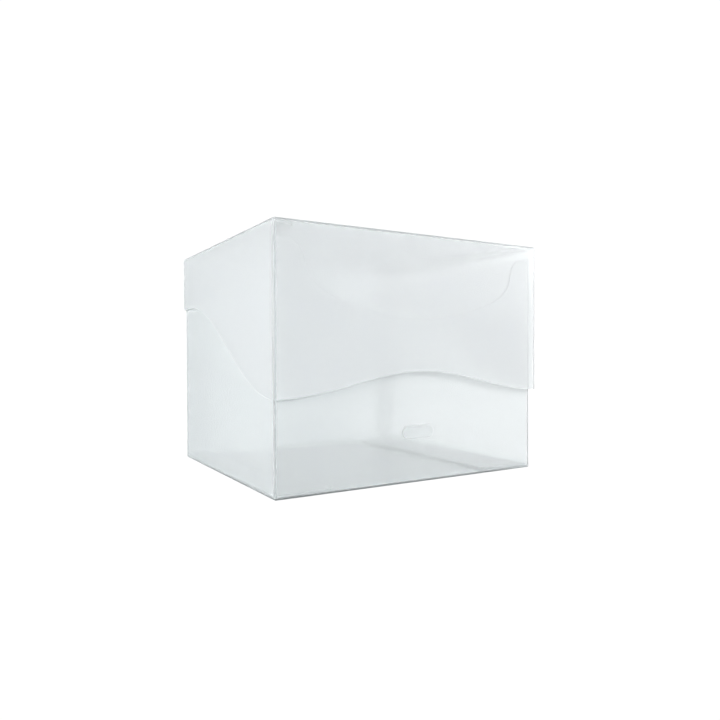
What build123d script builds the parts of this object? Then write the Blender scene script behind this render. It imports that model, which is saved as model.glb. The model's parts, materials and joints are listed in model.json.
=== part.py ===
from build123d import *
import math
import os

# Card box folded from frosted plastic sheet, with a deep lid that swings on a crease along the back.
# Millimetres, +Z up. The box faces -Y and its lid opens towards +Y. The origin is at the centre of
# the closed box's footprint, on the face it stands on.

# ---- Driving sizes ----
base_width = 98.0  # outside of the base, left to right
base_depth = 87.5  # outside of the base, front to back
box_height = 78.2  # underside to the top of the closed lid
sheet = 0.65  # thickness of the plastic sheet

# Lid
lid_back_height = 20.0  # strip of the lid that stands above the crease
lid_front_height = 50.2  # top of the lid to the low corners of its front edge
lid_wave_rise = 7.1  # how far the front edge rises in the middle
lid_side_level = 10.2  # stretch at the back where the side edges run level with the crease

# Base
side_wall_drop = 3.8  # top of the box down to the top of the side walls
horn_drop = 4.8  # top of the box down to the two horns of the front wall
horn_flat = 4.0  # level top of each horn
flare_width = 5.4  # rounded shoulder from the horn down to the flank of the thumb cut-out
flare_height = 6.2
cutout_depth = 21.9  # horn tops down to the bottom of the thumb cut-out
cutout_turn = 11.9  # height of the bend between the bottom and the flank of the cut-out
cutout_level = 7.2  # how far the bottom of the cut-out keeps level from its middle
shoulder_run = 12.8  # back of the box to where the side wall's rear cut leaves its level top
shoulder_foot = 2.7  # back of the box to the foot of that cut

# Tabs that hold the folded sheet together
floor_tab_width = 19.4  # tabs of the side walls that lie on the floor
upright_tab_width = 9.0  # tabs behind the back wall and the lid's back strip
lid_top_tab_width = 7.0  # tabs under the lid's top panel
tab_taper = 3.0  # corners cut off each tab
tab_relief = 0.4  # end of a tab to the next fold

# Blank emboss pad low on the front wall
pad_length = 12.0
pad_height = 4.0
pad_relief = 0.2
pad_centre_height = 16.0

# Crease, a thin strip left in the sheet
crease_half = 0.5  # half its height
crease_web = 0.25  # its thickness
crease_axis_offset = 0.1  # turning axis behind the back face
crease_gap = 0.2  # crease to the lid's back strip

# Clearances
side_gap = 0.3  # base side wall to lid side flap
swing_clearance = 0.12  # horn to the lid's front flap as it swings past
pass_gap = 0.5  # lid tab to the base wall under it

# ---- Derived places ----
hinge_height = box_height - lid_back_height
horn_top = box_height - horn_drop
side_wall_top = box_height - side_wall_drop
swing_radius = math.hypot(base_depth + crease_axis_offset, horn_top - hinge_height)
front_gap = swing_radius + swing_clearance - base_depth - crease_axis_offset
lid_floor = box_height - sheet  # underside of the lid's top panel

back = (base_depth + front_gap + sheet) / 2  # outer face of the back wall
front = back - base_depth  # outer face of the base front wall
lid_front = -back  # outer face of the lid's front flap
half_base = base_width / 2
half_lid = half_base + side_gap + sheet
lid_back_foot = hinge_height + crease_half + crease_gap
shoulder_height = hinge_height - crease_half

HANDLE = 0.3642  # handle length, as a share of the run, that makes a Bezier follow half a cosine wave
RIGHT = 1
LEFT = -1


def easing(start, end):
    """Smooth S from start to end, level at both."""
    run = (end[0] - start[0]) * HANDLE
    return Bezier(start, (start[0] + run, start[1]), (end[0] - run, end[1]), end)


def panel(edges, plane, thickness=sheet):
    """Flat sheet panel: a closed outline drawn on a plane, thickened along its normal."""
    return extrude(plane * make_face(Curve() + edges), amount=thickness)


def facing_front(y):
    """Plane at y with X across and Z up, whose normal points to the front."""
    return Plane(origin=(0, y, 0), x_dir=(1, 0, 0), z_dir=(0, -1, 0))


def facing_right(x):
    """Plane at x with Y across and Z up, whose normal points to the right."""
    return Plane(origin=(x, 0, 0), x_dir=(0, 1, 0), z_dir=(1, 0, 0))


def slab(x_range, y_range, z_range):
    """Plain cuboid between three pairs of limits."""
    corner = Location((x_range[0], y_range[0], z_range[0]))
    size = [high - low for low, high in (x_range, y_range, z_range)]
    return corner * Box(*size, align=(Align.MIN, Align.MIN, Align.MIN))


def tapered(root, tip, low, high):
    """Outline of a tab from its fold at root to its free edge at tip, with both free corners cut."""
    cut = math.copysign(tab_taper, tip - root)
    corners = [(root, low), (tip - cut, low), (tip, low + tab_taper)]
    corners += [(tip, high - tab_taper), (tip - cut, high), (root, high)]
    return [Polyline(*corners, close=True)]


def on_side(shape, side):
    """The right-hand piece, or its mirror image for the left."""
    if side == RIGHT:
        return shape
    return mirror(shape, about=Plane.YZ)


# ---- Base ----
def floor_panel():
    return slab((-half_base, half_base), (front, back), (0, sheet))


def back_wall():
    return slab((-half_base, half_base), (back - sheet, back), (sheet, shoulder_height))


def front_wall():
    """Front wall with the wide thumb cut-out between its two horns, and the blank pad."""
    horn = half_base - horn_flat
    flank = horn - flare_width
    flank_top = horn_top - flare_height
    bottom = horn_top - cutout_depth
    edges = []
    for side in (LEFT, RIGHT):
        edges += [
            Line((0, sheet), (side * half_base, sheet)),
            Line((side * half_base, sheet), (side * half_base, horn_top)),
            Line((side * half_base, horn_top), (side * horn, horn_top)),
            Bezier(
                (side * horn, horn_top),
                (side * (horn - flare_width * 0.54), horn_top),
                (side * flank, flank_top + flare_height * 0.44),
                (side * flank, flank_top),
            ),
            Bezier(
                (side * flank, flank_top),
                (side * flank, flank_top - cutout_turn),
                (side * cutout_level, bottom),
                (0, bottom),
            ),
        ]
    wall = panel(edges, facing_front(front + sheet))
    pad_outline = facing_front(front) * Pos(0, pad_centre_height) * SlotOverall(pad_length, pad_height)
    return wall + extrude(pad_outline, amount=pad_relief)


def side_wall(side):
    """Side wall, cut away in a curve at the top of the back so that the lid can swing."""
    inner_front = front + sheet
    inner_back = back - sheet
    shoulder = (back - shoulder_run, side_wall_top)
    foot = (back - shoulder_foot, shoulder_height)
    fall = side_wall_top - shoulder_height
    outline = [
        Line((inner_front, sheet), (inner_back, sheet)),
        Line((inner_back, sheet), (inner_back, shoulder_height)),
        Line((inner_back, shoulder_height), foot),
        Bezier(foot, (foot[0], foot[1] + fall * 0.33), (shoulder[0] + 1.3, shoulder[1] - fall * 0.15), shoulder),
        Line(shoulder, (inner_front, side_wall_top)),
        Line((inner_front, side_wall_top), (inner_front, sheet)),
    ]
    return on_side(panel(outline, facing_right(half_base - sheet)), side)


def floor_tab(side):
    """Tab of a side wall, folded in flat on the floor panel."""
    root = half_base - sheet
    outline = tapered(root, root - floor_tab_width, front + sheet + tab_relief, back - sheet - tab_relief)
    return on_side(panel(outline, Plane.XY.offset(sheet)), side)


def back_tab(side):
    """Tab of a side wall, folded in flat against the back wall."""
    root = half_base - sheet
    low = 2 * sheet + tab_relief
    outline = tapered(root, root - upright_tab_width, low, shoulder_height - tab_relief)
    return on_side(panel(outline, facing_front(back - sheet)), side)


def crease():
    """Thin strip of the sheet that bends as the lid turns."""
    return slab(
        (-half_base, half_base),
        (back - crease_web, back),
        (hinge_height - crease_half, hinge_height + crease_half),
    )


# ---- Lid ----
def lid_top_panel():
    return slab((-half_lid, half_lid), (lid_front, back), (lid_floor, box_height))


def lid_back_strip():
    return slab((-half_lid, half_lid), (back - sheet, back), (lid_back_foot, lid_floor))


def lid_front_flap():
    """Deep front flap whose lower edge rises in one long wave."""
    corner = box_height - lid_front_height
    edges = [
        easing((-half_lid, corner), (0, corner + lid_wave_rise)),
        easing((0, corner + lid_wave_rise), (half_lid, corner)),
        Polyline((half_lid, corner), (half_lid, lid_floor), (-half_lid, lid_floor), (-half_lid, corner)),
    ]
    return panel(edges, facing_front(lid_front + sheet))


def lid_side_flap(side):
    """Side flap whose lower edge sweeps up in an S from the front corner to the crease's height."""
    inner_front = lid_front + sheet
    inner_back = back - sheet
    corner = box_height - lid_front_height
    level_start = back - lid_side_level
    edges = [
        easing((inner_front, corner), (level_start, hinge_height)),
        Line((level_start, hinge_height), (inner_back, hinge_height)),
        Line((inner_back, hinge_height), (inner_back, lid_floor)),
        Line((inner_back, lid_floor), (inner_front, lid_floor)),
        Line((inner_front, lid_floor), (inner_front, corner)),
    ]
    return on_side(panel(edges, facing_right(half_lid - sheet)), side)


def lid_top_tab(side):
    """Tab of a side flap, folded in flat under the top panel."""
    root = half_lid - sheet
    outline = tapered(root, root - lid_top_tab_width, lid_front + sheet + tab_relief, back - sheet - tab_relief)
    return on_side(panel(outline, Plane.XY.offset(lid_floor - sheet)), side)


def lid_back_tab(side):
    """Tab of a side flap, folded in flat against the back strip."""
    root = half_lid - sheet
    low = lid_back_foot + pass_gap
    outline = tapered(root, root - upright_tab_width, low, lid_floor - sheet - tab_relief)
    return on_side(panel(outline, facing_front(back - sheet)), side)


pieces = {
    "base_floor_panel": floor_panel(),
    "base_back_wall": back_wall(),
    "base_front_wall": front_wall(),
    "base_left_wall": side_wall(LEFT),
    "base_right_wall": side_wall(RIGHT),
    "base_left_floor_tab": floor_tab(LEFT),
    "base_right_floor_tab": floor_tab(RIGHT),
    "base_left_back_tab": back_tab(LEFT),
    "base_right_back_tab": back_tab(RIGHT),
    "hinge_crease": crease(),
    "lid_top_panel": lid_top_panel(),
    "lid_back_strip": lid_back_strip(),
    "lid_front_flap": lid_front_flap(),
    "lid_left_flap": lid_side_flap(LEFT),
    "lid_right_flap": lid_side_flap(RIGHT),
    "lid_left_top_tab": lid_top_tab(LEFT),
    "lid_right_top_tab": lid_top_tab(RIGHT),
    "lid_left_back_tab": lid_back_tab(LEFT),
    "lid_right_back_tab": lid_back_tab(RIGHT),
}

os.makedirs("parts", exist_ok=True)
for name, solid in pieces.items():
    export_step(solid, f"parts/{name}.step")
print(f"hinge axis y {back + crease_axis_offset:.3f} z {hinge_height:.3f}, front gap {front_gap:.3f}")
print(f"overall {2 * half_lid:.2f} x {2 * back:.2f} x {box_height:.2f}, front {front:.3f}, back {back:.3f}")
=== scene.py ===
"""Frosted plastic card box with a flip lid: folded sheets, tabs, crease, finish and studio."""

import json
import math
from functools import partial

import bmesh
import bpy
from bpy.props import FloatProperty, FloatVectorProperty, IntProperty, PointerProperty
from mathutils import Euler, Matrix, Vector
from mathutils.geometry import interpolate_bezier


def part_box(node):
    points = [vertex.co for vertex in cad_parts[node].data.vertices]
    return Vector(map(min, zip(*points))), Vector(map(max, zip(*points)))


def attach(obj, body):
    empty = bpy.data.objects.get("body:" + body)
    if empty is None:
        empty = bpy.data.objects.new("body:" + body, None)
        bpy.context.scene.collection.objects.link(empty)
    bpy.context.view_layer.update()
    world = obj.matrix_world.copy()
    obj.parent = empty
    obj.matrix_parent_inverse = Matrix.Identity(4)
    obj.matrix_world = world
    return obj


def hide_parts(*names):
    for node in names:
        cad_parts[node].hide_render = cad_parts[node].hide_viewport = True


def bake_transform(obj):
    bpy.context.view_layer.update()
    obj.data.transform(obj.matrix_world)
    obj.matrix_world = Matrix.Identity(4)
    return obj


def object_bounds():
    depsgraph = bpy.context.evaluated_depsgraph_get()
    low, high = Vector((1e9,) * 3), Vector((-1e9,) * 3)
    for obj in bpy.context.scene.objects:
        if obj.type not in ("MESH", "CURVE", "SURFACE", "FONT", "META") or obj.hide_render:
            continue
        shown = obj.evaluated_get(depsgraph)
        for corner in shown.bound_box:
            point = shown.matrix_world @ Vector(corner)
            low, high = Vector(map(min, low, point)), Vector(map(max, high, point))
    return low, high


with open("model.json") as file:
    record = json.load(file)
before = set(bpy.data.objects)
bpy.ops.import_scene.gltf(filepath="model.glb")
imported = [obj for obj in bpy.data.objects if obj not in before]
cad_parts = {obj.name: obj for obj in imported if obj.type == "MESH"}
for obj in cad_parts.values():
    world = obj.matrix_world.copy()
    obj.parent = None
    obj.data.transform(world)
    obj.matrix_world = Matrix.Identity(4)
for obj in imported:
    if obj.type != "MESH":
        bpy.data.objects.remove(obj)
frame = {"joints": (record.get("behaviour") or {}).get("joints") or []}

bl_info = {
    "name": "Frosted Card Box",
    "version": (1, 0, 0),
    "blender": (4, 5, 0),
    "location": "3D View > Sidebar > Card Box",
    "description": "Folds a frosted plastic card box with a flip lid around its packed frame",
    "category": "Object",
}

MM = 0.001
NEAR = 1e-6  # metres within which two places count as the same
ON_PLANE = 1e-7  # metres within which a vertex counts as on a slicing plane
FACING = 0.5  # a face with more than this of its normal along an axis faces that way
FOLD, CUT = 1, 2  # material slots of a piece's bent and cut faces; its flat faces are in slot 0
HALF_COSINE = 0.3642  # Bezier handle, as a share of the run, that follows half a cosine wave
FLAT, UPRIGHT = (0, 1, 2), (0, 2, 1)  # axes across, along and through a plate that lies or stands
WHITE = (1.0, 1.0, 1.0, 1.0)
CAD_LOW, CAD_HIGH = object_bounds()

Length = partial(FloatProperty, unit="LENGTH", subtype="DISTANCE", min=0.0)
Share = partial(FloatProperty, subtype="FACTOR", min=0.0, max=1.0)
Amount = partial(FloatProperty, min=0.0)
Count = partial(IntProperty, min=1)
Place = partial(FloatVectorProperty, unit="LENGTH", subtype="TRANSLATION", size=3)
Colour = partial(FloatVectorProperty, subtype="COLOR", size=3, min=0.0)


# ---- Settings ----
class SheetSettings(bpy.types.PropertyGroup):
    """Sizes that the base and the lid share."""

    fold_radius: Length(name="Fold radius", description="Outside radius of each crease", default=0.7 * MM)
    fold_segments: Count(name="Fold segments", description="Faces round each crease", default=5)
    cut_steps: Count(name="Cut steps", description="Points along each curved cut", default=26)
    cut_round: Length(name="Cut rounding", description="Rounding of the lid's cut edge", default=0.10 * MM)
    round_segments: Count(name="Round segments", description="Faces across each small rounding", default=2)
    tab_taper: Length(name="Tab taper", description="Corners cut off each tab", default=3.0 * MM)
    weld_gap: Length(name="Weld gap", description="Air between a tab and its panel", default=0.05 * MM)
    crease_slices: Count(name="Crease slices", description="Rows of faces across the crease", default=12)


class BaseSettings(bpy.types.PropertyGroup):
    """Shape of the cuts in the base and of the pad on its front."""

    horn_flat: Length(name="Horn flat", description="Level top of each front horn", default=4.0 * MM)
    flare_width: Length(name="Flare width", description="Horn to the cut-out's flank", default=5.4 * MM)
    flare_height: Length(name="Flare height", description="Drop from horn to flank", default=6.2 * MM)
    flare_level: Share(
        name="Flare level",
        description="Curve handle at the horn, as a share of the flare's width",
        default=0.54,
    )
    flare_steep: Share(
        name="Flare steep",
        description="Curve handle at the flank, as a share of the flare's height",
        default=0.44,
    )
    cutout_depth: Length(name="Cut-out depth", description="Horn top to cut-out bottom", default=21.9 * MM)
    cutout_turn: Length(name="Cut-out turn", description="Height of the bend at a flank", default=11.9 * MM)
    cutout_level: Length(name="Cut-out level", description="Level stretch from the middle", default=7.2 * MM)
    shoulder_run: Length(name="Shoulder run", description="Back to the rear cut's top", default=12.8 * MM)
    shoulder_foot: Length(name="Shoulder foot", description="Back to the rear cut's foot", default=2.7 * MM)
    shoulder_lean: Length(
        name="Shoulder lean",
        description="How far back the curve handle at the rear cut's top lies",
        default=1.3 * MM,
    )
    shoulder_drop: Share(
        name="Shoulder drop",
        description="How far down that handle lies, as a share of the cut's height",
        default=0.15,
    )
    shoulder_rise: Share(
        name="Shoulder rise",
        description="Curve handle at the rear cut's foot, as a share of the cut's height",
        default=0.33,
    )
    pad_length: Length(name="Pad length", description="Length of the blank pad", default=12.0 * MM)
    pad_height: Length(name="Pad height", description="Height of the blank pad", default=4.0 * MM)
    pad_middle: Length(name="Pad middle", description="Middle of the pad above the table", default=16.0 * MM)
    pad_gap: Length(name="Pad gap", description="Air between the pad and the wall", default=0.02 * MM)
    pad_end: Share(
        name="Pad end",
        description="Radius of the pad's ends, as a share of its height",
        default=0.499,
    )
    pad_end_segments: Count(name="Pad end segments", description="Faces round each corner", default=12)
    pad_round: Share(
        name="Pad rounding",
        description="Rounding of the pad's front rim, as a share of its relief",
        default=0.6,
    )


class LidSettings(bpy.types.PropertyGroup):
    """Shape of the lid's edges."""

    wave_rise: Length(name="Wave rise", description="Rise of the front edge's middle", default=7.1 * MM)
    side_level: Length(name="Side level", description="Level stretch of the side edges", default=10.2 * MM)


class FinishSettings(bpy.types.PropertyGroup):
    """Colour, clearness and wear of the plastic."""

    base_tint: Colour(name="Base tint", description="Colour of the base sheet", default=(0.986, 0.996, 0.998))
    lid_tint: Colour(name="Lid tint", description="Colour of the lid sheet", default=(0.992, 0.996, 1.0))
    bloom: Colour(name="Bloom", description="Colour of the palest places", default=(0.99, 0.995, 0.997))
    base_clear: Share(name="Base clear", description="Light that passes the base sheet", default=0.8)
    lid_clear: Share(name="Lid clear", description="Light that passes the lid sheet", default=0.79)
    base_haze: Share(name="Base haze", description="Light that the base sheet spreads widely", default=0.005)
    lid_haze: Share(name="Lid haze", description="Light that the lid sheet spreads widely", default=0.045)
    base_frost: Share(name="Base frost", description="Roughness of the base sheet", default=0.12)
    lid_frost: Share(name="Lid frost", description="Roughness of the lid sheet", default=0.2)
    pale_frost: Share(name="Pale frost", description="Roughness added in pale places", default=0.12)
    fold_pale: Share(name="Fold pale", description="How far creases pale towards the bloom", default=0.8)
    cloud_pale: Share(name="Cloud pale", description="How far clouds pale towards the bloom", default=0.15)
    rubs: Share(name="Rubs", description="Strength of rub marks on flat sheet", default=0.3)
    grain_bump: Share(name="Grain bump", description="Strength of the grain on flat sheet", default=0.25)
    grain_depth: Length(name="Grain depth", description="Depth of that grain", default=0.004 * MM)
    white: Colour(name="Stress white", description="Colour of bent or cut sheet", default=(0.76, 0.80, 0.81))
    fold_clear: Share(name="Fold clear", description="Light that passes bent plastic", default=0.85)
    cut_clear: Share(name="Cut clear", description="Light that passes a cut edge", default=0.65)
    white_frost: Share(name="Stress frost", description="Roughness of bent and cut plastic", default=0.6)
    white_cloud: Length(name="Stress cloud", description="Size of clouds in white plastic", default=5 * MM)
    white_rubs: Share(name="Stress rubs", description="Strength of rub marks on white plastic", default=0.6)
    white_bump: Share(name="Stress bump", description="Strength of the grain on white plastic", default=0.3)
    white_depth: Length(name="Stress depth", description="Depth of that grain", default=0.008 * MM)
    density: FloatProperty(name="Index", description="Refractive index of the plastic", default=1.49, min=1.0)


class StudioSettings(bpy.types.PropertyGroup):
    """Camera, light and floor."""

    camera_place: Place(
        name="Camera place",
        description="Where the lens stands",
        default=(-116.7 * MM, -201.66 * MM, 40.7 * MM),
    )
    camera_turn: FloatVectorProperty(
        name="Camera turn",
        description="Rise, roll and turn of the camera",
        size=3,
        unit="ROTATION",
        default=(math.radians(89.43), math.radians(-0.216), math.radians(-30.97)),
    )
    lens: FloatProperty(name="Lens", description="Focal length in millimetres", default=31.06, min=1.0)
    film: FloatProperty(name="Film", description="Width of the film in millimetres", default=36.0, min=1.0)
    camera_near: Length(name="Camera near", description="Nearest thing seen", default=10 * MM)
    backdrop: Amount(name="Backdrop", description="White seen past the box", default=1.05)
    room: Colour(name="Room", description="Walls that light the box", default=(0.635, 0.685, 0.70))
    room_side: Colour(name="Room side", description="Brighter right-hand wall", default=(0.94, 0.96, 0.97))
    side_start: Share(name="Side start", description="How far right that wall begins", default=0.30)
    side_full: Share(name="Side full", description="How far right it is at its brightest", default=0.80)
    key: Amount(name="Key", description="Power of the left softbox in watts", default=9.5)
    fill: Amount(name="Fill", description="Power of the right softbox in watts", default=24.0)
    key_place: Place(name="Key place", description="Left softbox's middle", default=(-0.80, -0.25, 0.18))
    fill_place: Place(name="Fill place", description="Right softbox's middle", default=(1.25, -0.70, 0.42))
    softbox_size: Length(name="Softbox size", description="Side of each softbox", default=0.30)
    floor_reach: Length(name="Floor reach", description="Middle of the floor to each side", default=4.0)
    floor_drop: Length(name="Floor drop", description="Air under the box", default=0.02 * MM)
    floor_level: Share(
        name="Floor level",
        description="Brightness of the open floor, as a share of the walls'",
        default=0.96,
    )
    # painted shade: the paper under the box gets this darker, cyan-tinted colour; the box's real shadow also
    # falls on it
    floor_shade: Colour(
        name="Floor shade",
        description="Colour of the paper that shows under the box",
        default=(0.608, 0.6528, 0.6592),
    )
    shade_start: Amount(
        name="Shade start",
        description="Where that paper begins to fade out, in half sizes of the box from its middle",
        default=0.97,
    )
    shade_end: Amount(
        name="Shade end",
        description="Where it has faded out, in half sizes of the box from its middle",
        default=1.25,
    )
    bounces: Count(name="Bounces", description="Times that light may pass or turn", default=24)
    soft_bounces: Count(name="Soft bounces", description="Times that it may scatter", default=10)


SETTINGS = {
    "card_sheet": SheetSettings,
    "card_base": BaseSettings,
    "card_lid": LidSettings,
    "card_finish": FinishSettings,
    "card_studio": StudioSettings,
}


# ---- Node helpers ----
def set_inputs(tree, node, values):
    """Gives inputs of a node their values, or links them to sockets."""
    for name, value in values.items():
        if isinstance(value, bpy.types.NodeSocket):
            tree.links.new(value, node.inputs[name])
        else:
            node.inputs[name].default_value = value


def add_node(tree, kind, inputs=None, **settings):
    """A node with its settings and inputs."""
    node = tree.nodes.new(kind)
    for name, value in settings.items():
        setattr(node, name, value)
    set_inputs(tree, node, inputs or {})
    return node


def maths(tree, operation, *values, clamp=False):
    """One Math node's output."""
    node = add_node(tree, "ShaderNodeMath", dict(enumerate(values)), operation=operation, use_clamp=clamp)
    return node.outputs[0]


def vector_maths(tree, operation, *values):
    """One Vector Math node's vector."""
    return add_node(tree, "ShaderNodeVectorMath", dict(enumerate(values)), operation=operation).outputs[0]


def separated(tree, vector):
    """The X, Y and Z of a vector."""
    return add_node(tree, "ShaderNodeSeparateXYZ", {0: vector}).outputs


def noise(tree, place, size, detail):
    """Noise whose features have a size in metres."""
    scale = maths(tree, "DIVIDE", 1.0, size)
    values = {"Vector": place, "Scale": scale, "Detail": detail}
    return add_node(tree, "ShaderNodeTexNoise", values).outputs[0]


def blended(tree, factor, first, second):
    """Colour between first and second."""
    node = add_node(tree, "ShaderNodeMix", {0: factor, 6: first, 7: second}, data_type="RGBA")
    return node.outputs[2]


def smooth_rise(tree, value, start, end):
    """0 up to start, 1 from end on, and a smooth rise between."""
    values = {"Value": value, "From Min": start, "From Max": end}
    return add_node(tree, "ShaderNodeMapRange", values, interpolation_type="SMOOTHSTEP").outputs[0]


def object_place(tree):
    """Place in the object's own coordinates."""
    return add_node(tree, "ShaderNodeTexCoord").outputs["Object"]


def grain_normal(tree, height, strength, depth):
    """Normal of a surface with that grain on it."""
    values = {"Height": height, "Strength": strength, "Distance": depth}
    return add_node(tree, "ShaderNodeBump", values).outputs[0]


def either(tree, factor, first, second):
    """Shader between first and second."""
    values = {0: factor, 1: first.outputs[0], 2: second.outputs[0]}
    return add_node(tree, "ShaderNodeMixShader", values)


def seen_or_lighting(tree, seen, lighting):
    """One shader for what the camera sees directly, and another for all light."""
    direct = add_node(tree, "ShaderNodeLightPath").outputs["Is Camera Ray"]
    return either(tree, direct, lighting, seen)


def new_group(name, inputs, outputs):
    """An empty shader node group: (its tree, the sockets that it is given, its output node)."""
    tree = bpy.data.node_groups.new(name, "ShaderNodeTree")
    for socket, kind, default in inputs:
        made = tree.interface.new_socket(name=socket, in_out="INPUT", socket_type=kind)
        made.default_value = default
    for socket in outputs:
        tree.interface.new_socket(name=socket, in_out="OUTPUT", socket_type="NodeSocketFloat")
    return tree, tree.nodes.new("NodeGroupInput").outputs, tree.nodes.new("NodeGroupOutput")


def grouped(tree, group, values):
    """That group as a node with its inputs set."""
    return add_node(tree, "ShaderNodeGroup", values, node_tree=group)


def empty_nodes(holder):
    """Node tree of a material or world, emptied."""
    holder.use_nodes = True
    holder.node_tree.nodes.clear()
    return holder.node_tree


# ---- Shared effects ----
def frost_grain():
    """Fine matt grain of the sheet, with a broad cloudiness in it."""
    tree, given, out = new_group(
        "Frost grain",
        [
            ("Grain size", "NodeSocketFloat", 0.35 * MM),
            ("Cloud size", "NodeSocketFloat", 14 * MM),
            ("Roughness", "NodeSocketFloat", 0.3),
            ("Roughness spread", "NodeSocketFloat", 0.06),
        ],
        ["Height", "Roughness", "Cloud"],
    )
    place = object_place(tree)
    grain = noise(tree, place, given["Grain size"], detail=2.0)
    cloud = noise(tree, place, given["Cloud size"], detail=3.0)
    # noise from 0 to 1 moves the roughness from one spread below to one spread above
    centred = maths(tree, "SUBTRACT", cloud, 0.5)
    spread = maths(tree, "MULTIPLY", centred, given["Roughness spread"])
    rough = maths(tree, "ADD", given["Roughness"], maths(tree, "MULTIPLY", spread, 2.0))
    set_inputs(tree, out, {"Height": grain, "Roughness": rough, "Cloud": cloud})
    return tree


def fold_bloom():
    """Paler plastic along the creases of a folded box, where the sheet was stressed."""
    tree, given, out = new_group(
        "Fold bloom",
        [
            ("Low corner", "NodeSocketVector", (0, 0, 0)),
            ("High corner", "NodeSocketVector", (1, 1, 1)),
            ("Reach", "NodeSocketFloat", 1.4 * MM),
        ],
        ["Bloom"],
    )
    place = object_place(tree)
    above = vector_maths(tree, "SUBTRACT", place, given["Low corner"])
    below = vector_maths(tree, "SUBTRACT", given["High corner"], place)
    x, y, z = separated(tree, vector_maths(tree, "MINIMUM", above, below))
    # a crease is near where two of the three distances to the box's sides are small
    low = maths(tree, "MINIMUM", x, y)
    high = maths(tree, "MAXIMUM", x, y)
    to_crease = maths(tree, "MAXIMUM", low, maths(tree, "MINIMUM", high, z))
    fade = maths(tree, "DIVIDE", to_crease, given["Reach"])
    set_inputs(tree, out, {"Bloom": maths(tree, "SUBTRACT", 1.0, fade, clamp=True)})
    return tree


def rub_marks():
    """Short faint rub marks from handling."""
    tree, given, out = new_group(
        "Rub marks",
        [
            ("Spacing", "NodeSocketFloat", 22 * MM),
            ("Amount", "NodeSocketFloat", 0.5),
            ("Turn", "NodeSocketVector", (0.6, 0.9, 0.4)),
            ("Stretch", "NodeSocketVector", (1.0, 16.0, 1.0)),
            ("Faintest", "NodeSocketFloat", 0.62),
            ("Strongest", "NodeSocketFloat", 0.74),
        ],
        ["Marks"],
    )
    turn = {"Vector": object_place(tree), "Rotation": given["Turn"], "Scale": given["Stretch"]}
    turned = add_node(tree, "ShaderNodeMapping", turn).outputs[0]
    streak = noise(tree, turned, given["Spacing"], detail=4.0)
    limits = {"Value": streak, "From Min": given["Faintest"], "From Max": given["Strongest"]}
    marks = add_node(tree, "ShaderNodeMapRange", limits).outputs[0]
    set_inputs(tree, out, {"Marks": maths(tree, "MULTIPLY", marks, given["Amount"])})
    return tree


# ---- Materials ----
def frosted_sheet(name, groups, low, high, tint, clear, haze, frost):
    """Frosted polypropylene: part clear with a soft blur, part milky."""
    finish = bpy.context.scene.card_finish
    grain_group, bloom_group, rub_group = groups
    material = bpy.data.materials.new(name)
    tree = empty_nodes(material)
    grain = grouped(tree, grain_group, {"Roughness": frost})
    bloom = grouped(tree, bloom_group, {"Low corner": low, "High corner": high})
    rubs = grouped(tree, rub_group, {"Amount": finish.rubs})
    creases = maths(tree, "MULTIPLY", bloom.outputs[0], finish.fold_pale)
    pale = maths(tree, "MAXIMUM", creases, rubs.outputs[0])
    clouds = maths(tree, "MULTIPLY", grain.outputs["Cloud"], finish.cloud_pale)
    cloudy = maths(tree, "ADD", pale, clouds, clamp=True)
    tinted = blended(tree, cloudy, (*tint, 1.0), (*finish.bloom, 1.0))
    rougher = maths(tree, "MULTIPLY", pale, finish.pale_frost)
    normal = grain_normal(tree, grain.outputs["Height"], finish.grain_bump, finish.grain_depth)
    values = {
        "Base Color": tinted,
        "Roughness": maths(tree, "ADD", grain.outputs["Roughness"], rougher),
        "Normal": normal,
        "IOR": finish.density,
        "Transmission Weight": clear,
    }
    plastic = add_node(tree, "ShaderNodeBsdfPrincipled", values)
    milk = add_node(tree, "ShaderNodeBsdfTranslucent", {"Color": tinted, "Normal": normal})
    mixed = either(tree, haze, plastic, milk)
    add_node(tree, "ShaderNodeOutputMaterial", {"Surface": mixed.outputs[0]})


def stressed_edge(name, groups, clear):
    """Plastic whitened where it was bent or cut: rougher and milkier than the flat sheet."""
    finish = bpy.context.scene.card_finish
    grain_group, _, rub_group = groups
    material = bpy.data.materials.new(name)
    tree = empty_nodes(material)
    grain = grouped(tree, grain_group, {"Roughness": finish.white_frost, "Cloud size": finish.white_cloud})
    rubs = grouped(tree, rub_group, {"Amount": finish.white_rubs})
    cloudy = maths(tree, "MAXIMUM", grain.outputs["Cloud"], rubs.outputs[0])
    values = {
        "Base Color": blended(tree, cloudy, (*finish.white, 1.0), (*finish.bloom, 1.0)),
        "Roughness": grain.outputs["Roughness"],
        "Normal": grain_normal(tree, grain.outputs["Height"], finish.white_bump, finish.white_depth),
        "IOR": finish.density,
        "Transmission Weight": clear,
    }
    plastic = add_node(tree, "ShaderNodeBsdfPrincipled", values)
    add_node(tree, "ShaderNodeOutputMaterial", {"Surface": plastic.outputs[0]})


def shared_materials():
    """The plastic of base, lid and stressed edges, with the effects that they share, made once."""
    if "base_frosted_sheet" not in bpy.data.materials:
        finish = bpy.context.scene.card_finish
        groups = frost_grain(), fold_bloom(), rub_marks()
        base_low, base_high = base_box()
        past = Vector((0.0, 0.0, 1.0))  # moves an open side's corner too far off to have creases
        base = finish.base_tint, finish.base_clear, finish.base_haze, finish.base_frost
        lid = finish.lid_tint, finish.lid_clear, finish.lid_haze, finish.lid_frost
        frosted_sheet("base_frosted_sheet", groups, base_low, base_high + past, *base)
        frosted_sheet("lid_frosted_sheet", groups, CAD_LOW - past, CAD_HIGH, *lid)
        stressed_edge("bent_fold", groups, finish.fold_clear)
        stressed_edge("cut_edge", groups, finish.cut_clear)
    return bpy.data.materials


def wall_light(tree, across):
    """Colour of the surroundings, from how far to the right they lie (-1 to 1)."""
    studio = bpy.context.scene.card_studio
    side = smooth_rise(tree, across, studio.side_start, studio.side_full)
    return blended(tree, side, (*studio.room, 1.0), (*studio.room_side, 1.0))


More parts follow.
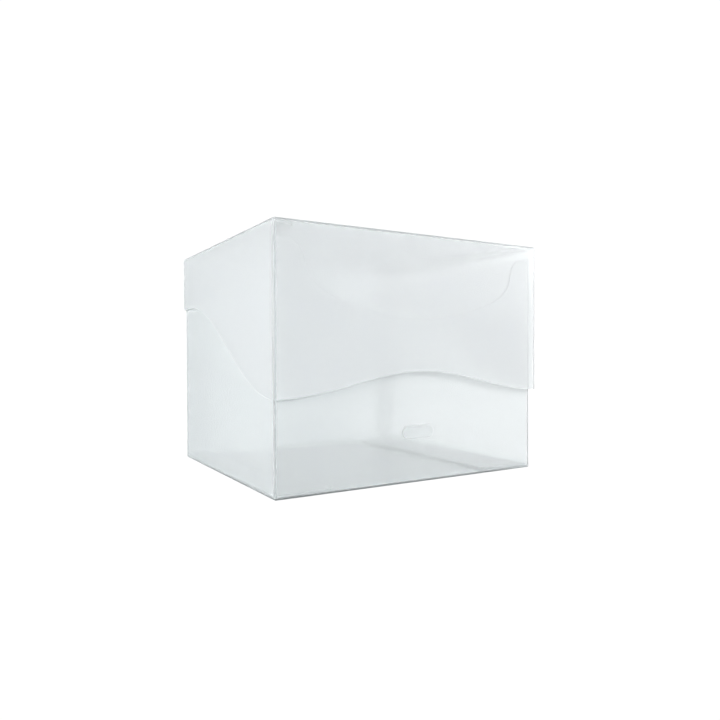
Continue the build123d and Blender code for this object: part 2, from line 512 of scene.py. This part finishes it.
def pale_floor():
    """Plain white past the box; to the light, a glow as bright as the walls, with painted shade under the
    box.
    """
    studio = bpy.context.scene.card_studio
    material = bpy.data.materials.new("pale_floor")
    tree = empty_nodes(material)
    place = object_place(tree)
    across = separated(tree, vector_maths(tree, "NORMALIZE", place))[0]
    light = {"Color": wall_light(tree, across), "Strength": studio.floor_level}
    lit = add_node(tree, "ShaderNodeEmission", light)
    # painted shade: a darker paper colour under the box, which also takes the box's real shadow
    paper = add_node(tree, "ShaderNodeBsdfDiffuse", {"Color": (*studio.floor_shade, 1.0)})
    # mask: 0 under the box, where the shade is painted, rising to 1 past its sides, where the floor glows
    # like the walls
    half = (CAD_HIGH - CAD_LOW) / 2
    spread = vector_maths(tree, "DIVIDE", place, (half.x, half.y, 1.0))
    x, y, _ = separated(tree, vector_maths(tree, "ABSOLUTE", spread))
    outside = maths(tree, "MAXIMUM", x, y)
    open_floor = smooth_rise(tree, outside, studio.shade_start, studio.shade_end)
    lighting = either(tree, open_floor, paper, lit)
    glow = add_node(tree, "ShaderNodeEmission", {"Color": WHITE, "Strength": studio.backdrop})
    sweep = seen_or_lighting(tree, glow, lighting)
    add_node(tree, "ShaderNodeOutputMaterial", {"Surface": sweep.outputs[0]})
    return material


def white_room():
    """Surroundings: plain white past the box, and to the light a room that is brighter on the right."""
    studio = bpy.context.scene.card_studio
    world = bpy.data.worlds.new("white_room")
    tree = empty_nodes(world)
    towards = add_node(tree, "ShaderNodeTexCoord").outputs["Generated"]
    walls = wall_light(tree, separated(tree, towards)[0])
    room = add_node(tree, "ShaderNodeBackground", {"Color": walls})
    plain = add_node(tree, "ShaderNodeBackground", {"Color": WHITE, "Strength": studio.backdrop})
    both = seen_or_lighting(tree, plain, room)
    add_node(tree, "ShaderNodeOutputWorld", {"Surface": both.outputs[0]})
    return world


# ---- Mesh helpers ----
def finish_piece(name, bm, material, body=None):
    """A finished piece from a bmesh, with its place in its mesh: flat faces, FOLD faces and CUT faces."""
    mesh = bpy.data.meshes.new(name)
    bm.to_mesh(mesh)
    bm.free()
    for plastic in (material, "bent_fold", "cut_edge"):
        mesh.materials.append(shared_materials()[plastic])
    piece = bpy.data.objects.new(name, mesh)
    bpy.context.scene.collection.objects.link(piece)
    if body:
        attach(piece, body)
    return piece


def bezier_points(start, lean_start, lean_end, end, steps):
    """Points of a cubic curve drawn in a plane, as (along, height) pairs."""
    corners = [Vector((*p, 0.0)) for p in (start, lean_start, lean_end, end)]
    return [(p.x, p.y) for p in interpolate_bezier(*corners, steps)]


def easing_points(start, end, steps):
    """Points of a smooth S that is level at both ends."""
    run = (end[0] - start[0]) * HALF_COSINE
    return bezier_points(start, (start[0] + run, start[1]), (end[0] - run, end[1]), end, steps)


def height_on(points, along):
    """Height of a cut edge at a place along it, straight between its points."""
    if along <= points[0][0]:
        return points[0][1]
    for (a, low), (b, high) in zip(points, points[1:]):
        if along <= b:
            return low + (high - low) * (along - a) / (b - a)
    return points[-1][1]


def block(low, high):
    """Cuboid between two corners."""
    bm = bmesh.new()
    bmesh.ops.create_cube(bm, size=1.0)
    size = high - low
    bmesh.ops.scale(bm, vec=size, verts=bm.verts)
    bmesh.ops.translate(bm, vec=low + size / 2, verts=bm.verts)
    return bm


def rounded(bm, edges, radius, segments, material_slot=0):
    """Rounds edges, puts the new faces in a material slot and returns them."""
    made = bmesh.ops.bevel(
        bm,
        geom=edges,
        offset=radius,
        affect="EDGES",
        segments=segments,
        profile=0.5,
        material=-1,
        clamp_overlap=True,
    )
    for face in made["faces"]:
        face.material_index = material_slot
    return made["faces"]


def open_box(low, high, open_side, sheet):
    """Outside of a folded box with one side open (+1 top, -1 bottom) and every crease rounded."""
    bm = block(low, high)
    gone = [f for f in bm.faces if f.normal.z * open_side > FACING]
    bmesh.ops.delete(bm, geom=gone, context="FACES_ONLY")
    creases = [e for e in bm.edges if len(e.link_faces) == 2]
    for face in rounded(bm, creases, sheet.fold_radius, sheet.fold_segments, FOLD):
        face.smooth = True
    return bm


def slice_across(bm, axis, places):
    """Cuts every face at these places along an axis, so that a cut edge can follow a curve."""
    normal = Vector([float(i == axis) for i in range(3)])
    for place in places:
        geom = [*bm.verts, *bm.edges, *bm.faces]
        bmesh.ops.bisect_plane(bm, geom=geom, dist=ON_PLANE, plane_co=normal * place, plane_no=normal)


def both_sides(points):
    """Places of an edge's points and of their mirror images, in order."""
    return sorted({side * along for along, _ in points for side in (-1, 1)})


def rim(bm):
    """Vertices round the open side."""
    return {v for e in bm.edges if len(e.link_faces) == 1 for v in e.verts}


def thicken(bm, thickness, sheet, whitened):
    """Gives an open skin its wall, inwards, and whitens and rounds the outside of its cut edge if asked."""
    bmesh.ops.recalc_face_normals(bm, faces=bm.faces)
    skin = set(bm.verts)
    bmesh.ops.solidify(bm, geom=bm.faces[:], thickness=thickness)
    bmesh.ops.recalc_face_normals(bm, faces=bm.faces)
    cut = [face for face in bm.faces if len({v in skin for v in face.verts}) == 2]
    for face in cut:
        face.material_index = CUT if whitened else 0
        face.smooth = False
    if whitened:
        outer = [e for face in cut for e in face.edges if all(v in skin for v in e.verts)]
        rounded(bm, outer, sheet.cut_round, sheet.round_segments, CUT)


def plate(outline, axes, level, thickness):
    """Flat plate: corners given as (across, along) at a level, thickened through the third axis."""
    across, along, through = axes
    bm = bmesh.new()
    corners = []
    for a, b in outline:
        corner = [0.0, 0.0, 0.0]
        corner[across], corner[along], corner[through] = a, b, level
        corners.append(bm.verts.new(corner))
    grown = bmesh.ops.extrude_face_region(bm, geom=[bm.faces.new(corners)])
    lift = [0.0, 0.0, 0.0]
    lift[through] = thickness
    lifted = [g for g in grown["geom"] if isinstance(g, bmesh.types.BMVert)]
    bmesh.ops.translate(bm, vec=lift, verts=lifted)
    bmesh.ops.recalc_face_normals(bm, faces=bm.faces)
    for face in bm.faces:
        if abs(face.normal[through]) < FACING:
            face.material_index = CUT
    return bm


def mirrored(bm):
    """The left-hand twin of a right-hand piece."""
    twin = bm.copy()
    bmesh.ops.scale(twin, vec=(-1.0, 1.0, 1.0), verts=twin.verts)
    bmesh.ops.recalc_face_normals(twin, faces=twin.faces)
    return twin


def base_box():
    """Outside corners of the base, its top at the higher of the horns and the side walls."""
    floor_low, floor_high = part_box("base_floor_panel")
    walls_top = max(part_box("base_front_wall")[1].z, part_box("base_left_wall")[1].z)
    return Vector(floor_low), Vector((floor_high.x, floor_high.y, walls_top))


def sheet_thickness():
    """Thickness of the plastic, from the floor panel."""
    low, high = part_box("base_floor_panel")
    return high.z - low.z


# ---- Pieces ----
def thumb_cut(cuts, half_width, horn_top, steps):
    """Right half of the front wall's top edge, from the middle of the cut-out to the horn."""
    horn = half_width - cuts.horn_flat
    flank = horn - cuts.flare_width
    flank_top = horn_top - cuts.flare_height
    bottom = horn_top - cuts.cutout_depth
    bowl = bezier_points(
        (0.0, bottom),
        (cuts.cutout_level, bottom),
        (flank, flank_top - cuts.cutout_turn),
        (flank, flank_top),
        steps,
    )
    flare = bezier_points(
        (flank, flank_top),
        (flank, flank_top + cuts.flare_height * cuts.flare_steep),
        (horn - cuts.flare_width * cuts.flare_level, horn_top),
        (horn, horn_top),
        steps // 2,
    )
    return bowl + flare[1:]


def rear_cut(cuts, back, wall_top, back_top, steps):
    """Top edge of a side wall at the back, from its level top down to the back wall's height."""
    foot = (back - cuts.shoulder_foot, back_top)
    shoulder = (back - cuts.shoulder_run, wall_top)
    fall = wall_top - back_top
    return bezier_points(
        shoulder,
        (shoulder[0] + cuts.shoulder_lean, wall_top - fall * cuts.shoulder_drop),
        (foot[0], back_top + fall * cuts.shoulder_rise),
        foot,
        steps,
    )


class CARDBOX_OT_base_sheet(bpy.types.Operator):
    """Fold the base from one sheet: floor, four walls, thumb cut-out and rear cuts"""

    bl_idname = "cardbox.base_sheet"
    bl_label = "Base Sheet"

    def execute(self, context):
        sheet, cuts = context.scene.card_sheet, context.scene.card_base
        low, high = base_box()
        horn_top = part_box("base_front_wall")[1].z
        wall_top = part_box("base_left_wall")[1].z
        back_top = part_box("base_back_wall")[1].z
        bm = open_box(low, high, 1, sheet)
        front_edge = thumb_cut(cuts, high.x, horn_top, sheet.cut_steps)
        side_edge = rear_cut(cuts, high.y, wall_top, back_top, sheet.cut_steps)
        slice_across(bm, 0, both_sides(front_edge))
        slice_across(bm, 1, [a for a, _ in side_edge])
        corner = sheet.fold_radius
        for v in rim(bm):
            if v.co.y < low.y + NEAR and abs(v.co.x) < high.x - corner:
                v.co.z = height_on(front_edge, abs(v.co.x))
            elif v.co.y < low.y + corner:
                turn = (v.co.y - low.y) / corner
                v.co.z = horn_top + (wall_top - horn_top) * turn
            elif v.co.y > low.y + corner:
                v.co.z = height_on(side_edge, v.co.y)
        thicken(bm, sheet_thickness(), sheet, whitened=False)
        piece = finish_piece("base_folded_sheet", bm, "base_frosted_sheet", "base")
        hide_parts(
            "base_floor_panel",
            "base_back_wall",
            "base_front_wall",
            "base_left_wall",
            "base_right_wall",
        )
        return {"FINISHED"}


def add_tab_pair(pattern, axes, panel_beyond, material, slot, body):
    """A tab on the right and its twin on the left, a weld gap clear of its fold and of its panel.

    The panel lies beyond the tab (behind or above it), or else before it.
    """
    sheet = bpy.context.scene.card_sheet
    gap, taper = sheet.weld_gap, sheet.tab_taper
    low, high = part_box(pattern.format("right"))
    across, along, through = axes
    root, tip = high[across] - gap, low[across]
    start, end = low[along], high[along]
    outline = [(root, start), (tip + taper, start), (tip, start + taper)]
    outline += [(tip, end - taper), (tip + taper, end), (root, end)]
    level = low[through] + (0.0 if panel_beyond else gap)
    bm = plate(outline, axes, level, high[through] - low[through] - gap)
    for side, mesh in (("left", mirrored(bm)), ("right", bm)):
        name = pattern.format(side)
        piece = finish_piece(name + "_sheet", mesh, material, body)
        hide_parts(name)


class CARDBOX_OT_base_tabs(bpy.types.Operator):
    """Lay the base's floor tabs and back tabs against their panels"""

    bl_idname = "cardbox.base_tabs"
    bl_label = "Base Tabs"

    def execute(self, context):
        finish = "base_frosted_sheet", "base_sheet", "base"
        add_tab_pair("base_{}_floor_tab", FLAT, False, *finish)
        add_tab_pair("base_{}_back_tab", UPRIGHT, True, *finish)
        return {"FINISHED"}


class CARDBOX_OT_front_pad(bpy.types.Operator):
    """Raise the plain blank pad low on the front wall"""

    bl_idname = "cardbox.front_pad"
    bl_label = "Front Pad"

    def execute(self, context):
        cuts, sheet = context.scene.card_base, context.scene.card_sheet
        wall = base_box()[0].y
        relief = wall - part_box("base_front_wall")[0].y
        size = Vector((cuts.pad_length, relief - cuts.pad_gap, cuts.pad_height))
        bm = block(-size / 2, size / 2)
        ends = [e for e in bm.edges if abs(e.verts[0].co.y - e.verts[1].co.y) > relief / 2]
        rounded(bm, ends, cuts.pad_height * cuts.pad_end, cuts.pad_end_segments)
        front_rim = [e for e in bm.edges if all(v.co.y < 0 for v in e.verts)]
        rounded(bm, front_rim, relief * cuts.pad_round, sheet.round_segments, FOLD)
        middle = Vector((0.0, wall - (relief + cuts.pad_gap) / 2, cuts.pad_middle))
        bmesh.ops.translate(bm, vec=middle, verts=bm.verts)
        bmesh.ops.recalc_face_normals(bm, faces=bm.faces)
        finish_piece("front_blank_pad", bm, "base_frosted_sheet", "base")
        return {"FINISHED"}


class CARDBOX_OT_lid_sheet(bpy.types.Operator):
    """Fold the lid from one sheet: top, back strip, wave-edged front flap and S-edged side flaps"""

    bl_idname = "cardbox.lid_sheet"
    bl_label = "Lid Sheet"

    def execute(self, context):
        sheet, cuts = context.scene.card_sheet, context.scene.card_lid
        corner_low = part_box("lid_front_flap")[0].z
        hinge = frame["joints"][0]["pos_m"][2]
        strip_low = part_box("lid_back_strip")[0].z
        low = Vector((CAD_LOW.x, CAD_LOW.y, corner_low))
        bm = open_box(low, CAD_HIGH, -1, sheet)
        wave = easing_points((0.0, corner_low + cuts.wave_rise), (CAD_HIGH.x, corner_low), sheet.cut_steps)
        level = CAD_HIGH.y - cuts.side_level
        sweep = easing_points((low.y, corner_low), (level, hinge), 2 * sheet.cut_steps)
        slice_across(bm, 0, both_sides(wave[:-1]))
        slice_across(bm, 1, [a for a, _ in sweep[1:]])
        for v in rim(bm):
            if v.co.y < low.y + NEAR:
                v.co.z = height_on(wave, abs(v.co.x))
            elif v.co.y > CAD_HIGH.y - NEAR:
                v.co.z = strip_low
            else:
                v.co.z = height_on(sweep, v.co.y)
        thicken(bm, sheet_thickness(), sheet, whitened=True)
        piece = finish_piece("lid_folded_sheet", bm, "lid_frosted_sheet", "lid")
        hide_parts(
            "lid_top_panel",
            "lid_back_strip",
            "lid_front_flap",
            "lid_left_flap",
            "lid_right_flap",
        )
        return {"FINISHED"}


class CARDBOX_OT_lid_tabs(bpy.types.Operator):
    """Lay the lid's top tabs and back tabs against their panels"""

    bl_idname = "cardbox.lid_tabs"
    bl_label = "Lid Tabs"

    def execute(self, context):
        finish = "lid_frosted_sheet", "lid_sheet", "lid"
        add_tab_pair("lid_{}_top_tab", FLAT, True, *finish)
        add_tab_pair("lid_{}_back_tab", UPRIGHT, True, *finish)
        return {"FINISHED"}


class CARDBOX_OT_crease(bpy.types.Operator):
    """Join base and lid with the thin bent strip of the crease"""

    bl_idname = "cardbox.crease"
    bl_label = "Crease"

    def execute(self, context):
        low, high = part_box("hinge_crease")
        strip_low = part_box("lid_back_strip")[0].z
        bm = block(low, Vector((high.x, high.y, strip_low)))
        slices = context.scene.card_sheet.crease_slices
        rise = strip_low - low.z
        slice_across(bm, 2, [low.z + rise * step / slices for step in range(1, slices)])
        piece = finish_piece("bent_crease_strip", bm, "bent_fold")
        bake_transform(piece)
        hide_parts("hinge_crease")
        return {"FINISHED"}


# ---- Studio ----
def add_object(name, data, place):
    """An object in the scene, at a place."""
    thing = bpy.data.objects.new(name, data)
    thing.location = place
    bpy.context.scene.collection.objects.link(thing)
    return thing


def add_floor(studio):
    """The white floor, just under the box."""
    bm = bmesh.new()
    bmesh.ops.create_grid(bm, x_segments=1, y_segments=1, size=studio.floor_reach)
    mesh = bpy.data.meshes.new("floor")
    bm.to_mesh(mesh)
    bm.free()
    mesh.materials.append(pale_floor())
    floor = add_object("floor", mesh, (0.0, 0.0, -studio.floor_drop))


def softbox(name, place, size, power):
    """Square area light aimed at the middle of the box."""
    light = bpy.data.lights.new(name, "AREA")
    light.size = size
    light.energy = power
    lamp = add_object(name, light, place)
    middle = (CAD_LOW + CAD_HIGH) / 2
    lamp.rotation_euler = (middle - lamp.location).to_track_quat("-Z", "Y").to_euler()


def add_camera(studio):
    """The camera, turned, tilted and then rolled."""
    camera = bpy.data.cameras.new("camera")
    camera.lens = studio.lens
    camera.sensor_width = studio.film
    camera.clip_start = studio.camera_near
    stand = add_object("camera", camera, studio.camera_place)
    rise, roll, turn = studio.camera_turn
    aim = Euler((rise, 0.0, turn)).to_matrix() @ Euler((0.0, 0.0, roll)).to_matrix()
    stand.rotation_euler = aim.to_euler()
    bpy.context.scene.camera = stand


class CARDBOX_OT_studio(bpy.types.Operator):
    """Set up the pale floor, the white surroundings, the softboxes and the camera"""

    bl_idname = "cardbox.studio"
    bl_label = "Studio"

    def execute(self, context):
        scene = context.scene
        studio = scene.card_studio
        scene.view_settings.view_transform = "Standard"
        scene.cycles.max_bounces = studio.bounces
        scene.cycles.transmission_bounces = studio.bounces
        scene.cycles.diffuse_bounces = studio.soft_bounces
        add_floor(studio)
        scene.world = white_room()
        softbox("left_softbox", studio.key_place, studio.softbox_size, studio.key)
        softbox("right_softbox", studio.fill_place, studio.softbox_size, studio.fill)
        add_camera(studio)
        return {"FINISHED"}


STEPS = [
    CARDBOX_OT_base_sheet,
    CARDBOX_OT_base_tabs,
    CARDBOX_OT_front_pad,
    CARDBOX_OT_lid_sheet,
    CARDBOX_OT_lid_tabs,
    CARDBOX_OT_crease,
    CARDBOX_OT_studio,
]


class CARDBOX_PT_panel(bpy.types.Panel):
    """Buttons and settings of the card box"""

    bl_idname = "CARDBOX_PT_panel"
    bl_label = "Card Box"
    bl_space_type = "VIEW_3D"
    bl_region_type = "UI"
    bl_category = "Card Box"

    def draw(self, context):
        for settings, kind in SETTINGS.items():
            box = self.layout.box()
            for name in kind.__annotations__:
                box.prop(getattr(context.scene, settings), name)
        for step in STEPS:
            self.layout.operator(step.bl_idname)


def register():
    for kind in (*SETTINGS.values(), *STEPS, CARDBOX_PT_panel):
        bpy.utils.register_class(kind)
    for name, kind in SETTINGS.items():
        setattr(bpy.types.Scene, name, PointerProperty(type=kind))


def unregister():
    for name in SETTINGS:
        delattr(bpy.types.Scene, name)
    for kind in reversed((*SETTINGS.values(), *STEPS, CARDBOX_PT_panel)):
        bpy.utils.unregister_class(kind)


def main():
    """Makes every piece and the studio."""
    register()
    for step in STEPS:
        group, name = step.bl_idname.split(".")
        getattr(getattr(bpy.ops, group), name)()


if __name__ == "__main__":
    main()
